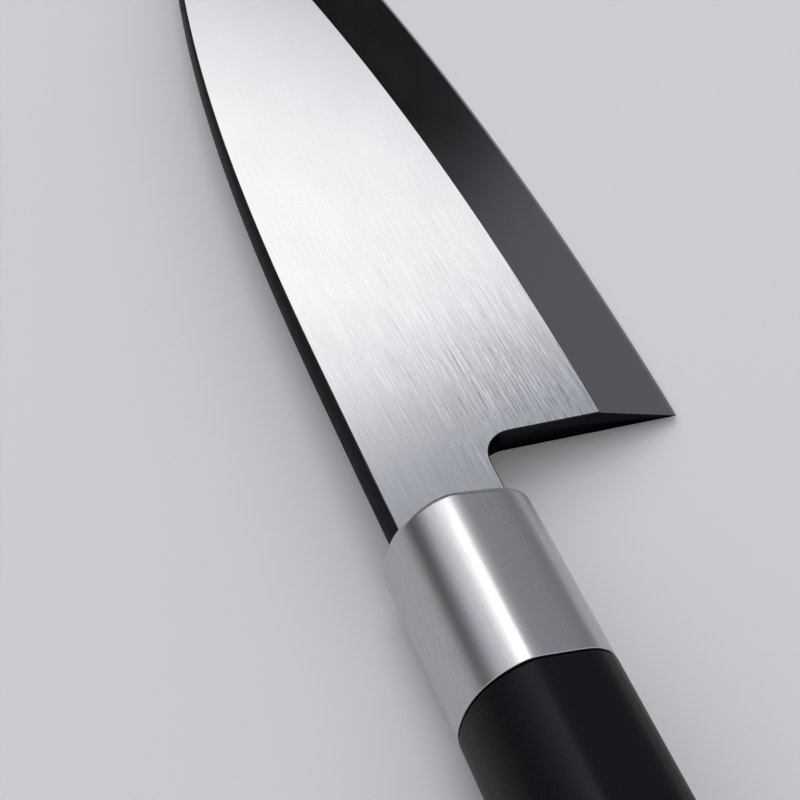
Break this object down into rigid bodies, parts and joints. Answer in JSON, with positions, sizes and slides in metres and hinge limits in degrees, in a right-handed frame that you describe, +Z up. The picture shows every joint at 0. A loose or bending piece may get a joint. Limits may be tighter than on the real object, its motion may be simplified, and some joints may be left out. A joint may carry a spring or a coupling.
{
  "type": "deba knife",
  "caption": "Stiff fish knife with a chisel-ground blade, notched square heel, satin steel ferrule and D-section moulded handle, lying on its side.",
  "frame": {"origin": "bottom centre of the bounding box of the knife lying on its side, at the table's height", "axes": "+X towards the tip, +Y towards the spine, +Z up out of the blade's flat side, which leans a little towards the cutting edge"},
  "size_m": [0.2848, 0.0494, 0.026],
  "materials": {
    "blade": "lengthwise satin on the flat, finer polish on the bevel",
    "ferrule": "fine satin",
    "handle": "matte, fine moulded texture"
  },
  "bodies": {
    "root": {"blade": "blade", "ferrule": "ferrule", "handle": "handle"}
  },
  "joints": []
}
